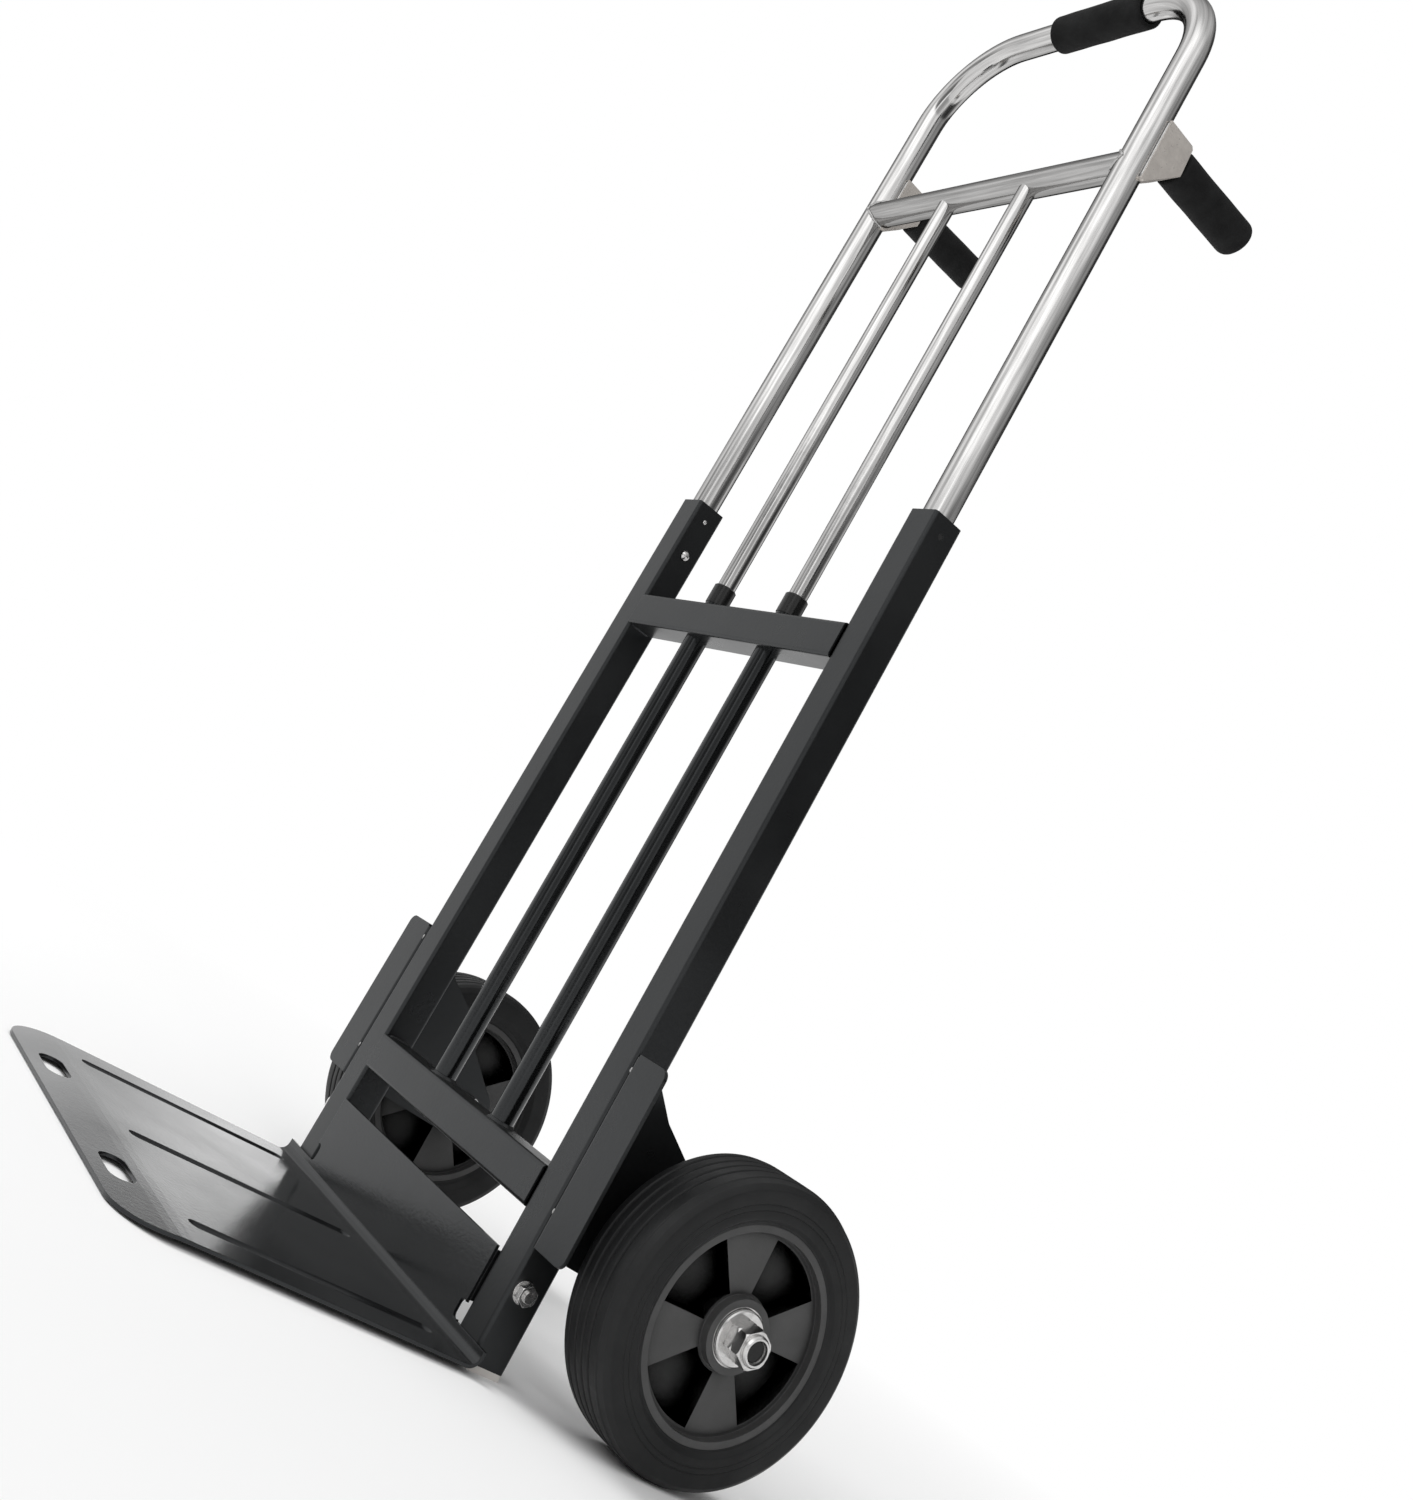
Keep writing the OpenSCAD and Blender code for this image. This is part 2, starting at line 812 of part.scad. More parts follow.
module rear_grip_shape() {
    round_r = 10;
    r = grip_d / 2 - 0.5;
    hollow = (leg_d - 0.4) / 2;
    start = rear_reach + 5 - rear_grip_l;
    translate([leg_x, start, rear_z]) rotate([-90, 0, 0]) rotate_extrude() difference() {
        union() {
            translate([0, 3]) square([r, rear_grip_l - 3 - round_r]);
            square([r - 3, rear_grip_l]);
            translate([0, 3]) square([r - round_r, rear_grip_l - 3]);
            translate([r - 3, 3]) circle(r = 3);
            intersection() {
                translate([r - round_r, rear_grip_l - round_r]) circle(r = round_r);
                square([r, rear_grip_l]);
            }
        }
        translate([0, -1]) square([hollow, rear_grip_l - 4]);
        translate([r - 6, rear_grip_l - round_r]) difference() {
            square(20);
            translate([6 - round_r, 0]) circle(r = round_r);
        }
    }
}

module rear_grip_right() {
    color(foam) rear_grip_shape();
}

module rear_grip_left() {
    color(foam) left_side() rear_grip_shape();
}

// ---- snap buttons ----

module snap_button_shape() {
    // pin with a domed tip, pointing to the middle of the truck
    foot_x = leg_x - 8.6;
    tip_x = half_w - tube - 3.5;
    dome_r = (button_d * button_d / 4 + 6.25) / 5;
    translate([foot_x, 0, button_z]) rotate([0, -90, 0]) rotate_extrude() {
        square([button_d / 2 + 0.8, 1]);
        square([button_d / 2, foot_x - tip_x - 2.5]);
        intersection() {
            translate([0, foot_x - tip_x - dome_r]) circle(r = dome_r);
            translate([0, foot_x - tip_x - 2.5]) square([button_d / 2, 4]);
        }
    }
}

module snap_button_right() {
    color(bright) snap_button_shape();
}

module snap_button_left() {
    color(bright) left_side() snap_button_shape();
}

module snap_spring_shape() {
    // flat spring bent to a V inside the handle leg
    r = 8;
    t = 0.8;
    translate([leg_x, 4, button_z - 46]) rotate([90, 0, 0]) linear_extrude(8) {
        difference() {
            circle(r = r);
            circle(r = r - t);
            translate([-20, 0]) square([40, 20]);
        }
        translate([-r, 0]) square([t, 54]);
        translate([r - t, 0]) square([t, 40]);
    }
}

module snap_spring_right() {
    color(bright) snap_spring_shape();
}

module snap_spring_left() {
    color(bright) left_side() snap_spring_shape();
}

// ---- what to draw ----

placed() upright_left();
placed() upright_right();
placed() upper_crossbar();
placed() lower_crossbar();
placed() inner_tube_left();
placed() inner_tube_right();
placed() tube_collars();
placed() tube_welds();
placed() guide_bushes();
placed() foot_plugs();
placed() wheel_bracket_left();
placed() wheel_bracket_right();
placed() axle_bolt_left();
placed() axle_bolt_right();
placed() axle_lock_nuts();
placed() axle_spacers();
placed() axle_washers();
placed() axle_nuts();
placed() bearing_inner_races();
placed() pivot_bolts();
placed() pivot_nuts();
placed() pivot_washers();
placed() handle_loop();
placed() handle_crossbar();
placed() slide_rod_left();
placed() slide_rod_right();
placed() rod_end_guides();
placed() leg_end_guides();
placed() rear_handle_left();
placed() rear_handle_right();
placed() gusset_left();
placed() gusset_right();
placed() top_grip();
placed() rear_grip_left();
placed() rear_grip_right();
placed() snap_spring_left();
placed() snap_spring_right();
placed() snap_button_left();
placed() snap_button_right();
placed() toe_plate();
placed() hinge_ears();
placed() toe_pads();
placed() tyre_left();
placed() rim_left();
placed() bearing_outer_left();
placed() bearing_balls_left();
placed() bearing_seals_left();
placed() tyre_right();
placed() rim_right();
placed() bearing_outer_right();
placed() bearing_balls_right();
placed() bearing_seals_right();
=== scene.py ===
import json
import math

import bpy
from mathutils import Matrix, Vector, noise


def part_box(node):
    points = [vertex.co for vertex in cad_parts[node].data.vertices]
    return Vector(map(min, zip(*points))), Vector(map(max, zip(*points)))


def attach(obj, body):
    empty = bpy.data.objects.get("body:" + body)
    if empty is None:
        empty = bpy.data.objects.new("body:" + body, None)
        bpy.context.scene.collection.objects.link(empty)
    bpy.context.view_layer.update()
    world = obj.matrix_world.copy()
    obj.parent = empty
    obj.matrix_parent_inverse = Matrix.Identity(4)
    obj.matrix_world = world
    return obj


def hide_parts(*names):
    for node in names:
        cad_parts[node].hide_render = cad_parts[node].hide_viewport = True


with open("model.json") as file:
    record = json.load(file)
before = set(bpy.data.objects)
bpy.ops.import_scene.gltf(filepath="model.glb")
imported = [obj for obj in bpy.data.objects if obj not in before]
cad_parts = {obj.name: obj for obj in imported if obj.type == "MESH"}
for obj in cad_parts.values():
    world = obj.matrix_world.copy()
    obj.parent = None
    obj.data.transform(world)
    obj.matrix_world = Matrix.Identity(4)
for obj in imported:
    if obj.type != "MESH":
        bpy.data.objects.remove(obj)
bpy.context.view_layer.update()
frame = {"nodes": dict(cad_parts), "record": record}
nodes = frame["nodes"]
scene = bpy.context.scene
scene.view_settings.view_transform = "Standard"

# ---------------------------------------------------------------- camera

# where the viewer stands, in metres, and how the camera is turned about x, y and z, in degrees
CAMERA_PLACE = (1.09778, -0.66056, 0.23651)
CAMERA_TURN = (105.4204, -30.1298, 55.2884)
CAMERA_LENS_MM = 38.8536
CAMERA_SHIFT = (0.07091, -0.12341)

cam = bpy.data.objects.new("camera", bpy.data.cameras.new("camera"))
scene.collection.objects.link(cam)
cam.location = CAMERA_PLACE
cam.rotation_euler = [math.radians(angle) for angle in CAMERA_TURN]
cam.data.sensor_width = 36
cam.data.lens = CAMERA_LENS_MM
cam.data.shift_x, cam.data.shift_y = CAMERA_SHIFT
cam.data.clip_start = 0.02
scene.camera = cam

# ---------------------------------------------------------------- materials

# in metres: radii of the handle's tube, its bends and the rear handles, and half an upright's width
TUBE_RADIUS = 0.0127
LOOP_RADIUS = 0.08
REAR_TUBE_RADIUS = 0.0125
HALF_UPRIGHT = 0.015
RANGE_SOCKETS = ("From Min", "From Max", "To Min", "To Max")


def middle(node):
    lo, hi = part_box(node)
    return (lo + hi) / 2


class Mat:
    """A node material with a few short ways to wire it."""

    def __init__(self, name, color, rough, metal=0.0, **sockets):
        self.mat = bpy.data.materials.new(name)
        self.mat.use_nodes = True
        self.nodes = self.mat.node_tree.nodes
        self.links = self.mat.node_tree.links
        self.bsdf = self.nodes["Principled BSDF"]
        self.bsdf.inputs["Base Color"].default_value = (*color, 1)
        self.bsdf.inputs["Roughness"].default_value = rough
        self.bsdf.inputs["Metallic"].default_value = metal
        for key, value in sockets.items():
            self.bsdf.inputs[key.replace("_", " ")].default_value = value
        self.where = self.nodes.new("ShaderNodeTexCoord").outputs["Object"]

    def link(self, a, b):
        self.links.new(a, b)

    def coords(self, scale=(1, 1, 1)):
        node = self.nodes.new("ShaderNodeMapping")
        node.inputs["Scale"].default_value = scale
        self.link(self.where, node.inputs["Vector"])
        return node.outputs["Vector"]

    def noise(self, scale, detail=3.0, rough=0.55, stretch=(1, 1, 1)):
        node = self.nodes.new("ShaderNodeTexNoise")
        node.inputs["Scale"].default_value = scale
        node.inputs["Detail"].default_value = detail
        node.inputs["Roughness"].default_value = rough
        self.link(self.coords(stretch), node.inputs["Vector"])
        return node.outputs["Fac"]

    def cells(self, scale, stretch=(1, 1, 1)):
        node = self.nodes.new("ShaderNodeTexVoronoi")
        node.inputs["Scale"].default_value = scale
        self.link(self.coords(stretch), node.inputs["Vector"])
        return node.outputs["Distance"]

    def remap(self, value, lo, hi, to_lo, to_hi):
        node = self.nodes.new("ShaderNodeMapRange")
        for key, number in zip(RANGE_SOCKETS, (lo, hi, to_lo, to_hi)):
            node.inputs[key].default_value = number
        self.link(value, node.inputs["Value"])
        return node.outputs["Result"]

    def ramp(self, value, stops):
        node = self.nodes.new("ShaderNodeValToRGB")
        ramp = node.color_ramp
        while len(ramp.elements) < len(stops):
            ramp.elements.new(0.5)
        for element, (place, color) in zip(ramp.elements, stops):
            element.position = place
            element.color = (*color, 1)
        self.link(value, node.inputs["Fac"])
        return node.outputs["Color"]

    def color(self, value, stops):
        self.link(self.ramp(value, stops), self.bsdf.inputs["Base Color"])

    def rough(self, value, lo, hi, to_lo, to_hi):
        self.link(self.remap(value, lo, hi, to_lo, to_hi), self.bsdf.inputs["Roughness"])

    def bump(self, *layers, round_edges=None):
        """layers are (height, strength, distance in metres); round_edges is a radius in metres."""
        before = None
        if round_edges:
            node = self.nodes.new("ShaderNodeBevel")
            node.samples = 4
            node.inputs["Radius"].default_value = round_edges
            before = node.outputs["Normal"]
        for height, strength, distance in layers:
            node = self.nodes.new("ShaderNodeBump")
            node.inputs["Strength"].default_value = strength
            node.inputs["Distance"].default_value = distance
            self.link(height, node.inputs["Height"])
            if before:
                self.link(before, node.inputs["Normal"])
            before = node.outputs["Normal"]
        self.link(before, self.bsdf.inputs["Normal"])


def grey(value, warm=0.0):
    return (value * (1 + warm), value, value * (1 - warm))


def powder_coat(name, low=0.0055, high=0.0085, rough=0.3):
    m = Mat(name, grey(low), rough, Specular_Tint=(0.93, 0.97, 1.0, 1))
    m.color(m.noise(14, 4), [(0.35, grey(low, -0.05)), (0.65, grey(high, -0.03))])
    m.rough(m.noise(9, 5), 0.3, 0.7, rough - 0.05, rough + 0.06)
    m.bump((m.noise(1400, 2), 0.12, 0.0002), (m.noise(300, 2), 0.10, 0.0006), round_edges=0.0006)
    return m.mat


def round_the_loop(m):
    """Texture coordinates that run along the bent handle tube: (across, across, along)."""
    def math_node(kind, a, b=0.0):
        node = m.nodes.new("ShaderNodeMath")
        node.operation = kind
        m.link(a, node.inputs[0])
        if isinstance(b, float):
            node.inputs[1].default_value = b
        else:
            m.link(b, node.inputs[1])
        return node.outputs[0]

    parts = m.nodes.new("ShaderNodeSeparateXYZ")
    m.link(m.where, parts.inputs[0])
    x, y, z = parts.outputs
    centre_x = middle("upright_right").x - LOOP_RADIUS
    centre_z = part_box("handle_loop")[1].z - TUBE_RADIUS - LOOP_RADIUS
    out = math_node("MAXIMUM", math_node("SUBTRACT", math_node("ABSOLUTE", x), centre_x))
    up = math_node("MAXIMUM", math_node("SUBTRACT", z, centre_z))
    squares = math_node("ADD", math_node("MULTIPLY", out, out), math_node("MULTIPLY", up, up))
    across = math_node("SQRT", squares)
    joined = m.nodes.new("ShaderNodeCombineXYZ")
    m.link(across, joined.inputs[0])
    m.link(y, joined.inputs[1])
    m.link(math_node("MULTIPLY", math_node("ADD", x, z), 0.03), joined.inputs[2])
    return joined.outputs[0]


def bright_tube(name, stretch, rough=0.13, warm=0.01, tone=1.0, bent=False):
    """Polished tube with fine draw lines along it."""
    m = Mat(name, grey(0.62, warm), rough, 1.0, Specular_Tint=(0.3, 0.3, 0.3, 1))
    if bent:
        m.where = round_the_loop(m)
    lines = m.noise(420, 3, 0.6, stretch)
    # a tone below 1 darkens the tube's colour as painted shade
    m.color(lines, [(0.3, grey(0.40 * tone, warm)), (0.7, grey(0.72 * tone, warm))])
    m.rough(m.noise(60, 4, 0.6, stretch), 0.3, 0.7, rough - 0.05, rough + 0.09)
    dents = m.noise(130, 2, 0.5, stretch)
    m.bump((lines, 0.16, 0.0003), (dents, 0.12, 0.0012), (m.noise(50, 2), 0.05, 0.002))
    return m.mat


def zinc(name, tone=0.66, rough=0.2, warm=0.01, metal=1.0):
    m = Mat(name, grey(tone), rough, metal)
    m.color(m.noise(140, 4), [(0.3, grey(tone * 0.88, warm)), (0.7, grey(tone * 1.06, warm))])
    m.rough(m.noise(260, 3), 0.3, 0.7, rough - 0.06, rough + 0.08)
    m.bump((m.noise(500, 2), 0.05, 0.0002), round_edges=0.0005)
    return m.mat


def local_middle(obj):
    corners = [Vector(c) for c in obj.bound_box]
    return sum(corners, Vector()) / 8


def from_axle(m, obj):
    """Distance of a shaded point from the line along x through the middle of obj."""
    shift = m.nodes.new("ShaderNodeVectorMath")
    shift.operation = "SUBTRACT"
    shift.inputs[1].default_value = local_middle(obj)
    m.link(m.where, shift.inputs[0])
    flat = m.nodes.new("ShaderNodeVectorMath")
    flat.operation = "MULTIPLY"
    flat.inputs[1].default_value = (0, 1, 1)
    m.link(shift.outputs[0], flat.inputs[0])
    size = m.nodes.new("ShaderNodeVectorMath")
    size.operation = "LENGTH"
    m.link(flat.outputs[0], size.inputs[0])
    return size.outputs["Value"]


def plastic_with_painted_shade(name, low, high, rough):
    """Moulded plastic with painted shade: its colour and gloss go dark deep inside its pockets, where
    ambient occlusion finds them.
    """
    m = Mat(name, grey(low), rough)
    tone = m.ramp(m.noise(30, 5), [(0.35, grey(low)), (0.68, grey(high))])
    # painted shade: ambient occlusion darkens the colour and gloss inside the pockets
    occlusion_for_painted_shade = m.nodes.new("ShaderNodeAmbientOcclusion")
    occlusion_for_painted_shade.samples = 6
    occlusion_for_painted_shade.inputs["Distance"].default_value = 0.05
    painted_shade_mask = m.remap(occlusion_for_painted_shade.outputs["AO"], 0.5, 0.72, 0.0, 1.0)
    # the painted shade is kept off near the axle and on the outer lip
    radius = from_axle(m, nodes["rim_right"])
    for limits in ((0.0253, 0.0262, 1.0, 0.0), (0.0665, 0.0685, 0.0, 1.0)):
        best = m.nodes.new("ShaderNodeMath")
        best.operation = "MAXIMUM"
        m.link(painted_shade_mask, best.inputs[0])
        m.link(m.remap(radius, *limits), best.inputs[1])
        painted_shade_mask = best.outputs[0]
    mix = m.nodes.new("ShaderNodeVectorMath")
    mix.operation = "SCALE"
    m.link(tone, mix.inputs[0])
    m.link(painted_shade_mask, mix.inputs["Scale"])
    m.link(mix.outputs[0], m.bsdf.inputs["Base Color"])
    m.link(m.remap(painted_shade_mask, 0.0, 1.0, 0.0, 0.5), m.bsdf.inputs["Specular IOR Level"])
    m.rough(m.noise(70, 4), 0.3, 0.7, rough - 0.06, rough + 0.06)
    m.bump((m.noise(700, 3), 0.2, 0.0002), (m.noise(40, 4), 0.12, 0.0015), round_edges=0.0008)
    return m.mat


def plastic(name, low, high, rough, grain=1200, warm=0.0):
    m = Mat(name, grey(low, warm), rough)
    m.color(m.noise(30, 5), [(0.35, grey(low, warm)), (0.68, grey(high, warm))])
    m.rough(m.noise(70, 4), 0.3, 0.7, rough - 0.06, rough + 0.06)
    m.bump((m.noise(grain, 3), 0.2, 0.0002), round_edges=0.0006)
    return m.mat


def foam(name):
    m = Mat(name, grey(0.006), 0.72, Specular_IOR_Level=0.2)
    m.color(m.noise(60, 6), [(0.35, grey(0.005, -0.02)), (0.7, grey(0.012, -0.02))])
    m.rough(m.cells(1400), 0.0, 0.7, 0.66, 0.9)
    m.bump((m.cells(1500), 0.35, 0.0004), (m.noise(180, 4), 0.25, 0.001))
    return m.mat


def tyre_rubber(name):
    m = Mat(name, grey(0.009), 0.45, Specular_IOR_Level=0.3)
    m.color(m.noise(22, 6), [(0.32, grey(0.008, -0.05)), (0.7, grey(0.014, -0.03))])
    m.rough(m.noise(50, 5), 0.3, 0.7, 0.42, 0.6)
    m.bump((m.noise(900, 3), 0.2, 0.0003), (m.noise(35, 3), 0.12, 0.002))
    return m.mat


MATS = {
    "black_powder_coat": powder_coat("powder_coat"),
    "bright_plated_tube": bright_tube("bright_tube_upright", (1, 1, 0.03)),
    "zinc_plated_hardware": zinc("zinc_plate"),
    "bearing_steel": zinc("ground_steel", 0.6, 0.2),
    "seal_rubber": tyre_rubber("seal_rubber"),
    "black_plastic": plastic("black_plastic", 0.012, 0.02, 0.42),
    "light_plastic": plastic("cream_plastic", 0.62, 0.72, 0.45, warm=0.05),
    "foam_grip": foam("foam"),
    "tyre_rubber": tyre_rubber("tyre_rubber"),
    # the rim plastic has painted shade in its pockets
    "rim_plastic": plastic_with_painted_shade("rim_plastic", 0.050, 0.068, 0.42),
}
# painted shade: the handle crossbar gets the polished tube darkened to 0.72
across = bright_tube("bright_tube_across_painted_shade", (0.03, 1, 1), tone=0.72)
back = bright_tube("bright_tube_back", (1, 0.03, 1))
pressed = zinc("bright_sheet", 0.6, 0.32, warm=0.07, metal=0.55)
OWN = {
    "handle_loop": bright_tube("bright_tube_loop", (1, 1, 1), bent=True),
    "handle_crossbar": across, "rear_handle_left": back, "rear_handle_right": back,
    "gusset_left": pressed, "gusset_right": pressed,
    "tube_collars": plastic("collar_plastic", 0.003, 0.006, 0.26),
    "toe_plate": powder_coat("powder_coat_plate", 0.006, 0.0095, 0.17),
}
# the axle ends are recessed inside their nuts, and their end faces are painted dark as painted shade
# of that recess
for side in ("left", "right"):
    obj = nodes["axle_bolt_" + side]
    end = max(abs(c[0]) for c in obj.bound_box)
    m = Mat("axle_end_painted_shade_" + side, grey(0.66), 0.22, 1.0)
    parted = m.nodes.new("ShaderNodeSeparateXYZ")
    m.link(m.where, parted.inputs[0])
    size = m.nodes.new("ShaderNodeMath")
    size.operation = "ABSOLUTE"
    m.link(parted.outputs[0], size.inputs[0])
    # painted shade: the very end of each bolt goes near black
    painted_shade_near_end = m.remap(size.outputs[0], end - 0.0009, end - 0.0004, 0.0, 1.0)
    m.color(painted_shade_near_end, [(0.0, grey(0.62)), (1.0, grey(0.035))])
    m.bump((m.noise(400, 3), 0.15, 0.0004), round_edges=0.0005)
    OWN["axle_bolt_" + side] = m.mat
OWN["inner_tube_left"] = OWN["inner_tube_right"] = powder_coat("powder_coat_tube", 0.004, 0.006, 0.16)


def paint(obj, material):
    obj.data.materials.clear()
    obj.data.materials.append(material)


for part in frame["record"]["subparts"]:
    name = part["node"]
    paint(nodes[name], OWN.get(name, MATS[part["material_slot"]]))


# ---------------------------------------------------------------- building blocks

def mesh_object(name, verts, faces, material, smooth=True):
    mesh = bpy.data.meshes.new(name)
    mesh.from_pydata([tuple(v) for v in verts], [], faces)
    mesh.update()
    obj = bpy.data.objects.new(name, mesh)
    scene.collection.objects.link(obj)
    mesh.materials.append(material)
    for face in mesh.polygons:
        face.use_smooth = smooth
    return obj


def lathe(name, profile, centre, along, material, count=96, jitter=None):
    """Turns a closed (distance along, radius) profile round an axis through centre."""
    along = Vector(along).normalized()
    side = along.orthogonal().normalized()
    other = along.cross(side)
    centre = Vector(centre)
    verts, faces, n = [], [], len(profile)
    for i in range(count):
        a = 2 * math.pi * i / count
        out = side * math.cos(a) + other * math.sin(a)
        for x, r in profile:
            push = jitter(x, r, a) if jitter else 0.0
            verts.append(centre + along * x + out * (r + push))
    for i in range(count):
        k = (i + 1) % count
        for j in range(n):
            faces.append((i * n + j, i * n + (j + 1) % n, k * n + (j + 1) % n, k * n + j))
    obj = mesh_object(name, verts, faces, material)
    obj.data.validate()
    return obj


def rounded(points, radii, steps=5):
    """Rounds the corners of a closed polygon, one radius per corner."""
    out, n = [], len(points)
    for i in range(n):
        p, r = Vector(points[i]), radii[i]
        if r <= 0:
            out.append(tuple(p))
            continue
        a = (Vector(points[i - 1]) - p)
        b = (Vector(points[(i + 1) % n]) - p)
        half = a.angle(b) / 2
        cut = min(r / math.tan(half), a.length * 0.49, b.length * 0.49)
        start, end = p + a.normalized() * cut, p + b.normalized() * cut
        for s in range(steps + 1):
            t = s / steps
            out.append(tuple(start * (1 - t) ** 2 + p * 2 * t * (1 - t) + end * t * t))
    return out


def bead(name, path, size, material, body, seed=0):
    """A lumpy rounded ridge along a path of points: a weld bead, and also the bright beads put in as
    painted highlights.
    """
    path = [Vector(p) for p in path]
    fine = []
    for a, b in zip(path, path[1:]):
        steps = max(2, int((b - a).length / 0.0011))
        fine += [a.lerp(b, t / steps) for t in range(steps)]
    fine.append(path[-1])
    verts, faces, ring = [], [], 8
    for i, p in enumerate(fine):
        ahead = (fine[min(i + 1, len(fine) - 1)] - fine[max(i - 1, 0)]).normalized()
        side = ahead.orthogonal().normalized()
        other = ahead.cross(side)
        ripple = 0.82 + 0.18 * abs(math.sin(i * 1.1 + seed))
        ripple += 0.12 * noise.noise(p * 400 + Vector((seed, 0, 0)))
        end = min(1.0, 0.35 + 0.3 * min(i, len(fine) - 1 - i))
        r = size * ripple * end
        for k in range(ring):
            a = 2 * math.pi * k / ring
            verts.append(p + (side * math.cos(a) + other * math.sin(a)) * r)
    for i in range(len(fine) - 1):
        for k in range(ring):
            n = (k + 1) % ring
            faces.append((i * ring + k, i * ring + n, (i + 1) * ring + n, (i + 1) * ring + k))
    faces.append(tuple(range(ring))[::-1])
    faces.append(tuple((len(fine) - 1) * ring + k for k in range(ring)))
    obj = mesh_object(name, verts, faces, material)
    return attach(obj, body)


# ---------------------------------------------------------------- tyres

def tyre(side, sign):
    lo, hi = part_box("tyre_" + side)
    c = (lo + hi) / 2
    inner, outer = sorted((abs(lo.x), abs(hi.x)))
    r = (hi.z - lo.z) / 2
    w = outer - inner
    rim_lo, rim_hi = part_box("rim_" + side)
    rim_r = (rim_hi.z - rim_lo.z) / 2
    half_groove = 0.0013
    half_floor = 0.0005
    groove_depth = 0.0016
    points, radii = [], []

    def add(x, rr, rad=0.0):
        points.append((x, rr))
        radii.append(rad)

    add(0.003, rim_r)
    add(0.003, rim_r + 0.004, 0.001)
    add(0.0, rim_r + 0.009, 0.002)
    add(0.0, rim_r + 0.012)
    add(0.0, r - 0.007, 0.004)
    add(0.0025, r - 0.0025, 0.002)
    add(0.0055, r - 0.0006, 0.002)
    for g in (0.012, 0.0205, 0.029, 0.0375):
        add(g - half_groove, r, 0.0006)
        add(g - half_floor, r - groove_depth, 0.0004)
        add(g + half_floor, r - groove_depth, 0.0004)
        add(g + half_groove, r, 0.0006)
    add(w - 0.0085, r - 0.0001, 0.002)
    add(w - 0.0080, r - 0.0009, 0.0003)
    add(w - 0.0030, r - 0.0024, 0.0012)
    add(w, r - 0.0062, 0.0022)
    for rr in (r - 0.0155, rim_r + 0.0105):
        add(w, rr + 0.0006, 0.0003)
        add(w - 0.0005, rr, 0.0003)
        add(w, rr - 0.0006, 0.0003)
    add(w, rim_r + 0.0045, 0.0015)
    add(w - 0.003, rim_r + 0.0015, 0.001)
    add(w - 0.003, rim_r)
    profile = rounded(points, radii, 3)
    obj = lathe("tyre_detail_" + side, profile, (sign * inner, c.y, c.z), (sign, 0, 0),
                MATS["tyre_rubber"], 160)
    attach(obj, "wheel_" + side)
    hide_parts("tyre_" + side)


tyre("left", -1)
tyre("right", 1)

# ---------------------------------------------------------------- foam grips


def grip(name, node, axis, closed):
    lo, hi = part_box(node)
    c = (lo + hi) / 2
    k = 0 if axis == "x" else 1
    along = Vector((1, 0, 0)) if axis == "x" else Vector((0, 1, 0))
    length = hi[k] - lo[k]
    outer = (hi.z - lo.z) / 2
    start = c - along * length / 2
    hole = TUBE_RADIUS if axis == "x" else REAR_TUBE_RADIUS
    if closed:
        # the closed end is a 3 mm cap, open only by a hair on the axis
        cap, hair = length - 0.003, 0.0002
        points = [(0.0, hole), (0.0, outer), (length, outer), (length, hair), (cap, hair), (cap, hole)]
        radii = [0.0015, 0.004, 0.011, 0, 0, 0]
    else:
        points = [(0.0, hole), (0.0, outer), (length, outer), (length, hole)]
        radii = [0.0015, 0.0055, 0.0055, 0.0015]
    profile = rounded(points, radii, 8)
    dense = []
    for a, b in zip(profile, profile[1:] + profile[:1]):
        steps = max(1, int(math.dist(a, b) / 0.003))
        step_x, step_r = (b[0] - a[0]) / steps, (b[1] - a[1]) / steps
        dense += [(a[0] + step_x * s, a[1] + step_r * s) for s in range(steps)]

    def jitter(x, r, a):
        if r < outer - 0.004:
            return 0.0
        p = Vector((x * 45, math.cos(a) * 1.3, math.sin(a) * 1.3))
        return -0.0003 + 0.0003 * noise.noise(p)

    obj = lathe(name, dense, start, along, MATS["foam_grip"], 72, jitter)
    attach(obj, "handle")
    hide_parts(node)


grip("grip_top", "top_grip", "x", False)
grip("grip_rear_left", "rear_grip_left", "y", True)
grip("grip_rear_right", "rear_grip_right", "y", True)

# ---------------------------------------------------------------- welds

weld_black = powder_coat("weld_paint", 0.006, 0.012, 0.34)
weld_bright = zinc("weld_metal", 0.5, 0.34)


def crossbar_welds(node, tag):
    lo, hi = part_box(node)
    for s in (-1, 1):
        x = s * (abs(hi.x) + 0.0002)
        for name, z in (("top", hi.z), ("low", lo.z)):
            bead(f"weld_{tag}_{name}_{'r' if s > 0 else 'l'}",
                 [(x, lo.y + 0.006, z), (x, hi.y - 0.004, z)], 0.0016, weld_black, "frame", s + z)


crossbar_welds("upper_crossbar", "upper")
crossbar_welds("lower_crossbar", "lower")

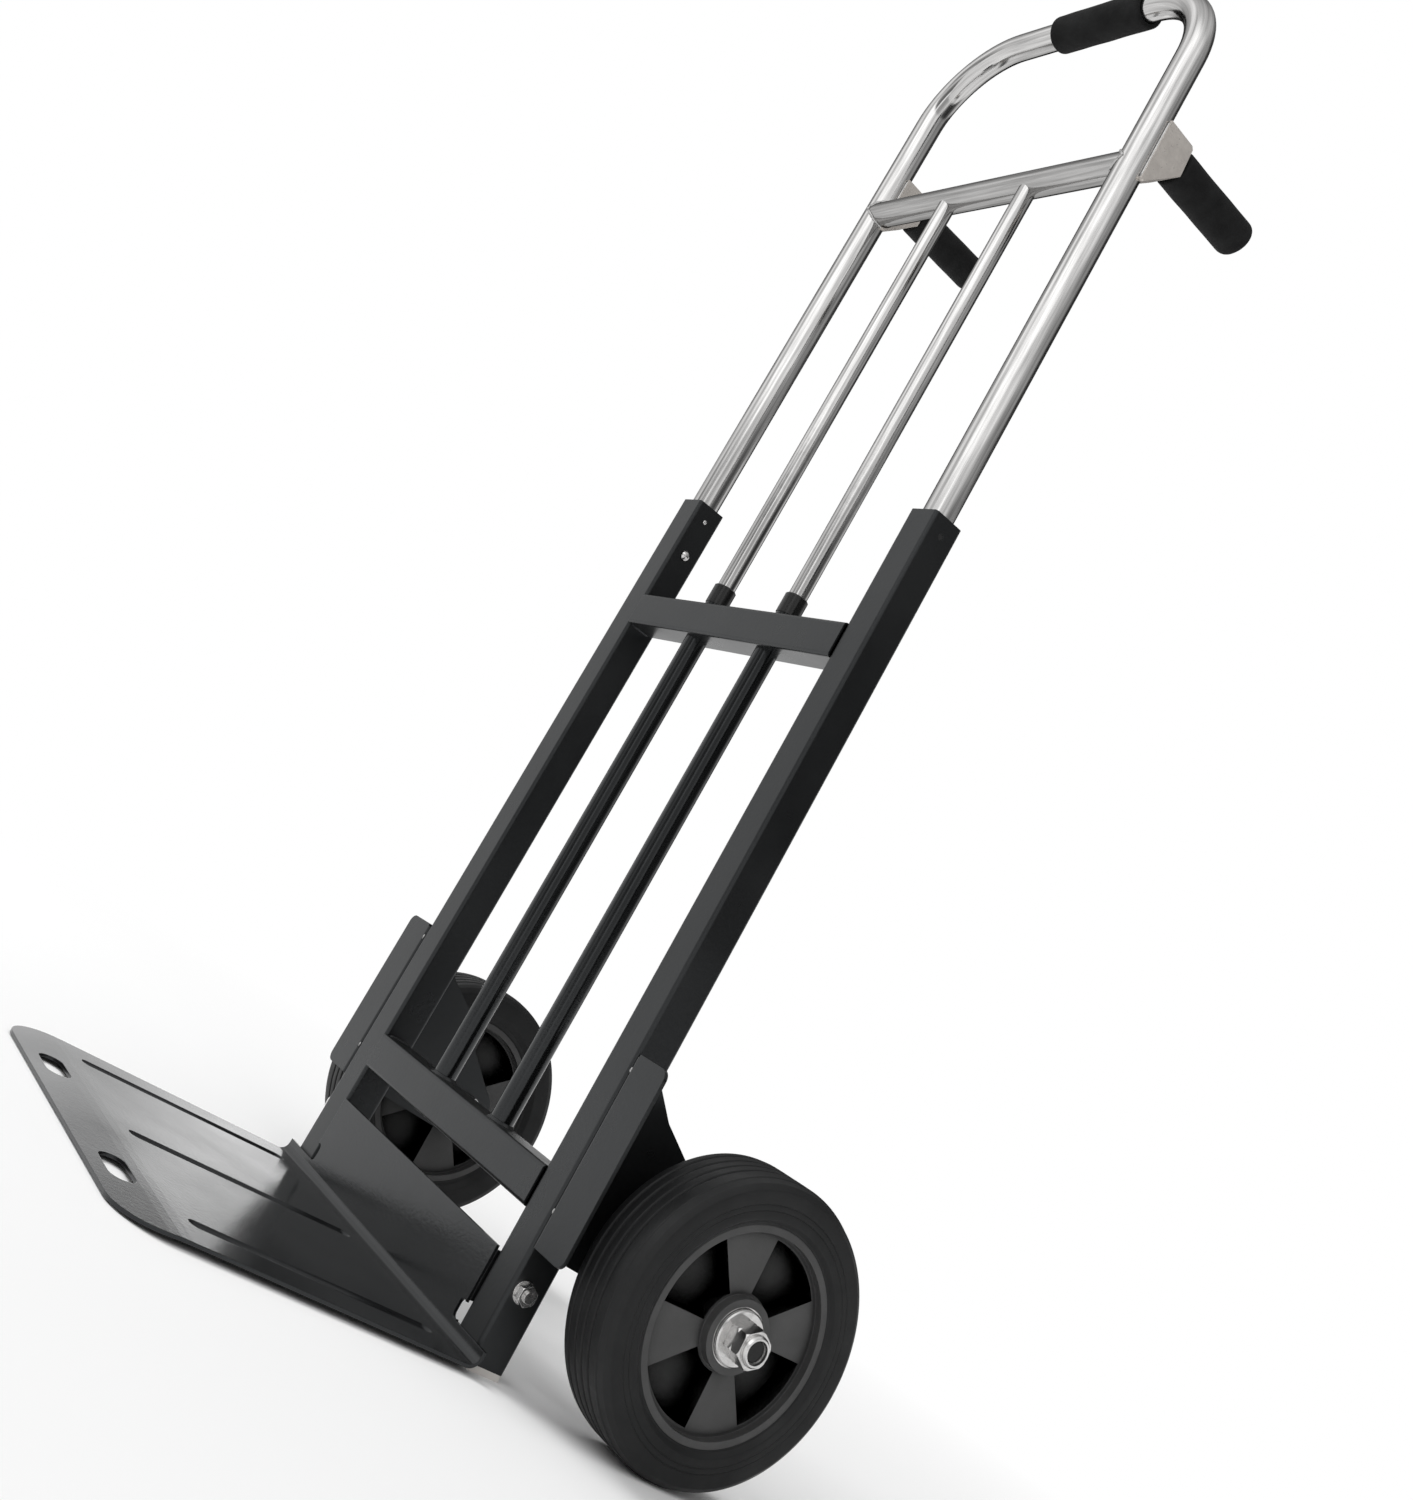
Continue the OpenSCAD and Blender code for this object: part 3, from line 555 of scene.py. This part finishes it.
axis_y = middle("upright_right").y
leg_x = middle("upright_right").x
bar = middle("handle_crossbar")
bar_lo, bar_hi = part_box("handle_crossbar")
bar_r = (bar_hi.z - bar_lo.z) / 2
for s, side in ((-1, "left"), (1, "right")):
    path = []
    for i in range(33):
        a = 2 * math.pi * i / 32
        y, z = (bar_r + 0.0003) * math.sin(a), (bar_r + 0.0003) * math.cos(a)
        leg_half = math.sqrt(max(TUBE_RADIUS ** 2 - y * y, 0))
        path.append((s * (leg_x - leg_half - 0.0003), bar.y + y, bar.z + z))
    bead("weld_bar_" + side, path, 0.0015, weld_bright, "handle", s)
    lo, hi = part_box("gusset_" + side)
    for tag, x in (("out", leg_x + TUBE_RADIUS + 0.0006), ("in", leg_x - TUBE_RADIUS - 0.0006)):
        seam = [(s * x, lo.y + 0.0004, z) for z in (lo.z + 0.001, hi.z - 0.001)]
        bead(f"weld_gusset_{tag}_{side}", seam, 0.0013, weld_bright, "handle", s + x)
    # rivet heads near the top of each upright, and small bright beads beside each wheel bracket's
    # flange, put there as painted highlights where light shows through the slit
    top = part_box("upright_" + side)[1].z
    head = [(0.0, 0.0001), (0.0, 0.0021), (0.0004, 0.0021), (0.0009, 0.0014), (0.0011, 0.0001)]
    place = (s * (leg_x - HALF_UPRIGHT + 0.0001), axis_y, top - 0.015)
    rivet = lathe("rivet_" + side, head, place, (-s, 0, 0), MATS["zinc_plated_hardware"], 24)
    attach(rivet, "frame")
    lo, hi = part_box("wheel_bracket_" + side)
    # painted highlight: bright metal beads stand for light seen through the slit
    for tag, z in (("low", lo.z + 0.030), ("high", hi.z - 0.014)):
        x = s * (leg_x + HALF_UPRIGHT + 0.0013)
        front = axis_y - HALF_UPRIGHT + 0.0004
        bead(f"painted_glint_bead_{tag}_{side}", [(x, front, z), (x, front, z + 0.004)], 0.0013,
             weld_bright, "frame", s + z)

# ---------------------------------------------------------------- floor, light

bpy.ops.mesh.primitive_grid_add(x_subdivisions=40, y_subdivisions=40, size=16)
floor = bpy.context.object
floor.name = "floor"
m = Mat("floor_paper", (0.93, 0.93, 0.93), 0.9, Specular_IOR_Level=0.1)
length_of = m.nodes.new("ShaderNodeVectorMath")
length_of.operation = "LENGTH"
m.link(m.where, length_of.inputs[0])
far = m.remap(length_of.outputs["Value"], 0.45, 1.5, 0.0, 1.0)
glow = m.nodes.new("ShaderNodeEmission")
glow.inputs["Color"].default_value = (1, 1, 1, 1)
glow.inputs["Strength"].default_value = 1.0
both = m.nodes.new("ShaderNodeMixShader")
out = m.nodes["Material Output"]
m.link(far, both.inputs[0])
m.link(m.bsdf.outputs[0], both.inputs[1])
m.link(glow.outputs[0], both.inputs[2])
m.link(both.outputs[0], out.inputs["Surface"])
paint(floor, m.mat)


def softbox(name, place, aim, size, power):
    light = bpy.data.objects.new(name, bpy.data.lights.new(name, "AREA"))
    scene.collection.objects.link(light)
    light.data.shape = "RECTANGLE"
    light.data.size, light.data.size_y = size
    light.data.energy = power
    light.location = place
    light.rotation_euler = (Vector(aim) - Vector(place)).to_track_quat("-Z", "Y").to_euler()
    light.visible_glossy = False


softbox("key", (-1.6, -2.0, 2.8), (0, 0, 0.4), (1.6, 1.6), 60)

world = bpy.data.worlds.new("studio")
scene.world = world
world.use_nodes = True
wn, wl = world.node_tree.nodes, world.node_tree.links
wn.clear()
way = wn.new("ShaderNodeTexCoord").outputs["Generated"]


def sky_math(kind, a, b=None):
    node = wn.new("ShaderNodeMath")
    node.operation = kind
    for socket, value in ((node.inputs[0], a), (node.inputs[1], b)):
        if isinstance(value, (int, float)):
            socket.default_value = value
        elif value is not None:
            wl.new(value, socket)
    return node.outputs[0]


def sky_mix(a, b, share):
    rest = sky_math("MULTIPLY", a, sky_math("SUBTRACT", 1.0, share))
    return sky_math("ADD", rest, sky_math("MULTIPLY", b, share))


def sky_step(value, lo, hi, to_lo=0.0, to_hi=1.0):
    node = wn.new("ShaderNodeMapRange")
    node.interpolation_type = "SMOOTHSTEP"
    for key, number in zip(RANGE_SOCKETS, (lo, hi, to_lo, to_hi)):
        node.inputs[key].default_value = number
    wl.new(value, node.inputs["Value"])
    return node.outputs["Result"]


def sky_dot(vector):
    node = wn.new("ShaderNodeVectorMath")
    node.operation = "DOT_PRODUCT"
    node.inputs[1].default_value = Vector(vector).normalized()
    wl.new(way, node.inputs[0])
    return node.outputs["Value"]


xyz = wn.new("ShaderNodeSeparateXYZ")
wl.new(way, xyz.inputs[0])
turned = sky_step(sky_math("ARCTAN2", xyz.outputs["Y"], xyz.outputs["X"]), -math.pi, math.pi)
turned.node.interpolation_type = "LINEAR"


def sky_ring(stops):
    """A band of light and dark walls round the horizon, (degrees, brightness) stops."""
    node = wn.new("ShaderNodeValToRGB")
    node.color_ramp.interpolation = "EASE"
    while len(node.color_ramp.elements) < len(stops):
        node.color_ramp.elements.new(0.5)
    for element, (angle, value) in zip(node.color_ramp.elements, stops):
        element.position = (angle + 180) / 360
        element.color = (value, value, value, 1)
    wl.new(turned, node.inputs["Fac"])
    return node.outputs["Color"]


# low walls light the painted frame, high walls the bright handle
low_ring = sky_ring([
    (-180, 0.95), (-153, 0.88), (-132, 0.9), (-112, 0.3), (-98, 0.75), (-80, 0.25), (-68, 0.15),
    (-58, 1.3), (-46, 0.5), (-27, 0.5), (-8, 0.95), (4, 0.4), (15, 0.08), (40, 0.03), (62, 0.15),
    (78, 0.85), (96, 0.9), (108, 0.25), (122, 0.5), (142, 1.35), (153, 1.7), (159, 1.0), (168, 1.3),
    (180, 0.95)])
high_ring = sky_ring([
    (-180, 0.6), (-155, 0.7), (-135, 1.4), (-110, 0.8), (-90, 1.7), (-55, 1.7), (-35, 1.0),
    (-10, 1.1), (20, 0.5), (40, 0.3), (60, 0.45), (85, 0.05), (100, 0.05), (130, 0.6), (180, 0.6)])
# one sector of the low walls is dark above a tilted edge, which the toe plate mirrors
lit = sky_step(sky_dot((-0.43, -0.445, -0.785)), -0.05, 0.035, 0.03, 1.0)
sector = sky_step(sky_dot((-0.74, 0.62, 0.24)), 0.86, 0.93)
dark = sky_math("MULTIPLY", sector, sky_math("SUBTRACT", 1.0, lit))
upper = sky_step(xyz.outputs["Z"], 0.31, 0.38)
ring = sky_mix(low_ring, high_ring, upper)
around = sky_math("MULTIPLY", ring, sky_math("SUBTRACT", 1.0, dark))
high = sky_step(xyz.outputs["Z"], 0.72, 0.95)
above = sky_mix(around, 0.75, high)
# the backdrop itself is plain white
seen = wn.new("ShaderNodeLightPath").outputs["Is Camera Ray"]
strength = sky_mix(above, 1.0, seen)
sky = wn.new("ShaderNodeBackground")
sky.inputs["Color"].default_value = (1, 1, 1, 1)
wl.new(strength, sky.inputs["Strength"])
world_out = wn.new("ShaderNodeOutputWorld")
wl.new(sky.outputs[0], world_out.inputs["Surface"])
